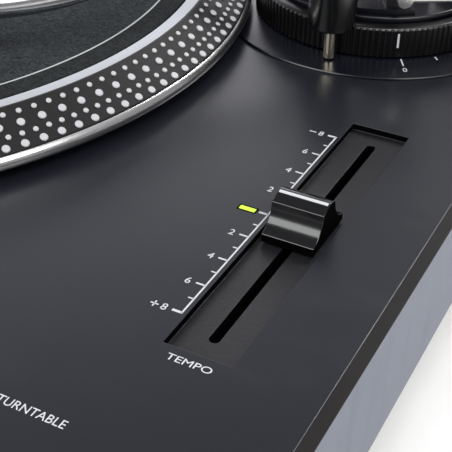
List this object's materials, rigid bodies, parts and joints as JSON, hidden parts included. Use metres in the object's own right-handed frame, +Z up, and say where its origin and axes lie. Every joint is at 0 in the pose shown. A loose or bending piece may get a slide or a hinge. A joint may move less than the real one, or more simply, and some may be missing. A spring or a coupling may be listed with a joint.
{
  "type": "turntable record player",
  "caption": "Direct-drive record player: dotted-rim platter under a felt mat, S-shaped tonearm on a height-adjustable base, tempo slider, keys and rear connectors on a low plinth.",
  "frame": {"origin": "centre of the footprint, on the surface the feet stand on", "axes": "+X to the player's right (the tempo slider's side), +Y to the back panel, +Z up; the platter turns about +Z"},
  "size_m": [0.45, 0.353, 0.1396],
  "materials": {
    "shell": "satin charcoal, fine moulded grain",
    "tray": "matte black moulding",
    "foot_rubber": "matte rubber",
    "screw_steel": "plain zinc-plated steel",
    "motor_metal": "machined, unpolished",
    "bearing_bronze": "oiled bronze",
    "board_green": "glass-fibre circuit board, satin",
    "coil_copper": "enamelled copper wire",
    "magnet": "sintered ferrite, dull",
    "platter_metal": "die-cast, machined rim, dotted edge",
    "mat_felt": "felt, dark green-grey with a printed ring",
    "polished_steel": "polished",
    "knob_black": "polished black",
    "led_lime": "clear lime lens",
    "key_plastic": "satin silver paint",
    "strobe_red": "clear red lens",
    "dial_metal": "satin anodised",
    "adapter_metal": "turned, satin",
    "core_iron": "varnished laminations",
    "jack_gold": "gilt",
    "arm_paint": "satin charcoal enamel",
    "ring_black": "black anodised, ribbed edge",
    "arm_metal": "bright anodised",
    "weight_metal": "turned, satin",
    "cartridge_black": "satin black moulding",
    "stylus_white": "gloss moulding"
  },
  "bodies": {
    "plinth": {"top_shell": "shell", "base_tray": "tray", "case_screws": "screw_steel", "motor_frame": "motor_metal", "bearing_housing": "bearing_bronze", "motor_board": "board_green", "stator_coils": "coil_copper", "fader_body": "tray", "tempo_led": "led_lime", "control_board": "board_green", "power_switch": "tray", "strobe_tower": "knob_black", "strobe_window": "strobe_red", "main_board": "board_green", "power_transformer": "core_iron", "terminal_panel": "tray", "rca_jacks": "jack_gold", "ground_screw": "polished_steel", "power_inlet": "tray", "hinge_sockets": "tray", "arm_base_plate": "arm_paint", "rest_post": "polished_steel", "rest_block": "knob_black"},
    "platter": {"platter": "platter_metal", "slipmat": "mat_felt", "spindle": "polished_steel", "rotor_magnet": "magnet"},
    "tempo_slider": {"fader_stem": "screw_steel", "tempo_knob": "knob_black"},
    "start_button": {"start_stop_button": "key_plastic"},
    "button_33": {"speed_33_button": "key_plastic"},
    "button_45": {"speed_45_button": "key_plastic"},
    "power_dial": {"power_dial": "dial_metal"},
    "adapter": {"adapter_45": "adapter_metal"},
    "output_switch": {"output_switch": "key_plastic"},
    "height_ring": {"height_ring": "ring_black"},
    "arm_base": {"arm_column": "arm_paint", "gimbal_bridge": "arm_metal", "anti_skate_housing": "arm_paint", "cue_housing": "arm_paint"},
    "anti_skate_dial": {"anti_skate_dial": "ring_black"},
    "cue_lever": {"cue_lever": "polished_steel"},
    "lift_platform": {"lift_platform": "arm_paint"},
    "gimbal": {"gimbal_ring": "arm_metal"},
    "tonearm": {"pivot_axle": "polished_steel", "pivot_block": "arm_metal", "arm_tube": "arm_metal", "rear_shaft": "arm_metal"},
    "locking_collar": {"locking_collar": "polished_steel"},
    "headshell": {"headshell": "arm_metal", "cartridge": "cartridge_black", "stylus": "stylus_white"},
    "weight_sleeve": {"damping_sleeve": "arm_metal"},
    "counterweight": {"counterweight": "weight_metal"},
    "force_dial": {"force_dial": "ring_black"},
    "rest_clip": {"rest_clip": "knob_black"},
    "foot_front_left": {"foot_front_left": "foot_rubber"},
    "foot_front_right": {"foot_front_right": "foot_rubber"},
    "foot_back_left": {"foot_back_left": "foot_rubber"},
    "foot_back_right": {"foot_back_right": "foot_rubber"}
  },
  "joints": [
    {"name": "platter_spin", "type": "hinge", "parent": "plinth", "child": "platter", "pos_m": [-0.0445, 0, 0.09], "axis": [0, 0, 1], "continuous": true},
    {"name": "tempo_slide", "type": "slide", "parent": "plinth", "child": "tempo_slider", "axis": [0, 1, 0], "range_m": [-0.051, 0.051]},
    {"name": "start_stop_press", "type": "slide", "parent": "plinth", "child": "start_button", "axis": [0, 0, 1], "range_m": [-0.0012, 0], "stiffness_N_per_m": 900, "springref_m": 0.002},
    {"name": "speed_33_press", "type": "slide", "parent": "plinth", "child": "button_33", "axis": [0, 0, 1], "range_m": [-0.0012, 0], "stiffness_N_per_m": 900, "springref_m": 0.002},
    {"name": "speed_45_press", "type": "slide", "parent": "plinth", "child": "button_45", "axis": [0, 0, 1], "range_m": [-0.0012, 0], "stiffness_N_per_m": 900, "springref_m": 0.002},
    {"name": "power_dial_turn", "type": "hinge", "parent": "plinth", "child": "power_dial", "pos_m": [-0.198, -0.108, 0.085], "axis": [0, 0, 1], "range_deg": [-40, 0]},
    {"name": "adapter_lift", "type": "slide", "parent": "plinth", "child": "adapter", "axis": [0, 0, 1], "range_m": [0, 0.04]},
    {"name": "output_switch_slide", "type": "slide", "parent": "plinth", "child": "output_switch", "axis": [1, 0, 0], "range_m": [0, 0.0042]},
    {"name": "height_ring_turn", "type": "hinge", "parent": "plinth", "child": "height_ring", "pos_m": [0.1505, 0.0918, 0.088], "axis": [0, 0, 1], "range_deg": [0, 186]},
    {"name": "arm_base_lift", "type": "slide", "parent": "plinth", "child": "arm_base", "axis": [0, 0, 1], "range_m": [0, 0.006]},
    {"name": "anti_skate_turn", "type": "hinge", "parent": "arm_base", "child": "anti_skate_dial", "pos_m": [0.18348, 0.09295, 0.1], "axis": [0, 0, 1], "range_deg": [0, 300]},
    {"name": "cue_lever_turn", "type": "hinge", "parent": "arm_base", "child": "cue_lever", "pos_m": [0.1664, 0.06636, 0.1045], "axis": [0.5299, -0.848, 0], "range_deg": [0, 70]},
    {"name": "lift_platform_rise", "type": "slide", "parent": "arm_base", "child": "lift_platform", "axis": [0, 0, 1], "range_m": [0, 0.0016]},
    {"name": "arm_swing", "type": "hinge", "parent": "arm_base", "child": "gimbal", "pos_m": [0.1505, 0.0918, 0.1152], "axis": [0, 0, 1], "range_deg": [-9, 44.56]},
    {"name": "arm_lift", "type": "hinge", "parent": "gimbal", "child": "tonearm", "pos_m": [0.1505, 0.0918, 0.1152], "axis": [-0.7389, 0.6738, 0], "range_deg": [0, 2.4]},
    {"name": "locking_collar_turn", "type": "hinge", "parent": "tonearm", "child": "locking_collar", "pos_m": [0.04206, -0.05605, 0.1152], "axis": [-0.9015, -0.4327, 0], "range_deg": [0, 60]},
    {"name": "headshell_pull", "type": "slide", "parent": "tonearm", "child": "headshell", "axis": [-0.9015, -0.4327, 0], "range_m": [0, 0.03]},
    {"name": "weight_turn", "type": "hinge", "parent": "weight_sleeve", "child": "counterweight", "pos_m": [0.19093, 0.13614, 0.1152], "axis": [-0.6738, -0.7389, 0], "range_deg": [-360, 180]},
    {"name": "weight_feed", "type": "slide", "parent": "tonearm", "child": "weight_sleeve", "axis": [-0.6738, -0.7389, 0], "range_m": [-0.0061, 0.0031]},
    {"name": "force_dial_turn", "type": "hinge", "parent": "counterweight", "child": "force_dial", "pos_m": [0.18554, 0.13023, 0.1152], "axis": [-0.6738, -0.7389, 0], "range_deg": [-180, 180]},
    {"name": "rest_clip_turn", "type": "hinge", "parent": "plinth", "child": "rest_clip", "pos_m": [0.15965, 0.0403, 0.1215], "axis": [0, 1, 0], "range_deg": [-90, 0]},
    {"name": "foot_front_left_turn", "type": "hinge", "parent": "plinth", "child": "foot_front_left", "pos_m": [-0.178, -0.128, 0.02], "axis": [0, 0, 1], "range_deg": [-180, 180]},
    {"name": "foot_front_right_turn", "type": "hinge", "parent": "plinth", "child": "foot_front_right", "pos_m": [0.178, -0.128, 0.02], "axis": [0, 0, 1], "range_deg": [-180, 180]},
    {"name": "foot_back_left_turn", "type": "hinge", "parent": "plinth", "child": "foot_back_left", "pos_m": [-0.178, 0.128, 0.02], "axis": [0, 0, 1], "range_deg": [-180, 180]},
    {"name": "foot_back_right_turn", "type": "hinge", "parent": "plinth", "child": "foot_back_right", "pos_m": [0.178, 0.128, 0.02], "axis": [0, 0, 1], "range_deg": [-180, 180]}
  ],
  "couplings": [
    {"joint": "arm_base_lift", "follows": "height_ring_turn", "m_per_rad": 0.001848},
    {"joint": "lift_platform_rise", "follows": "cue_lever_turn", "m_per_rad": 0.0013},
    {"joint": "arm_lift", "follows": "cue_lever_turn", "ratio": 0.0342},
    {"joint": "weight_feed", "follows": "weight_turn", "m_per_rad": 0.00095}
  ]
}
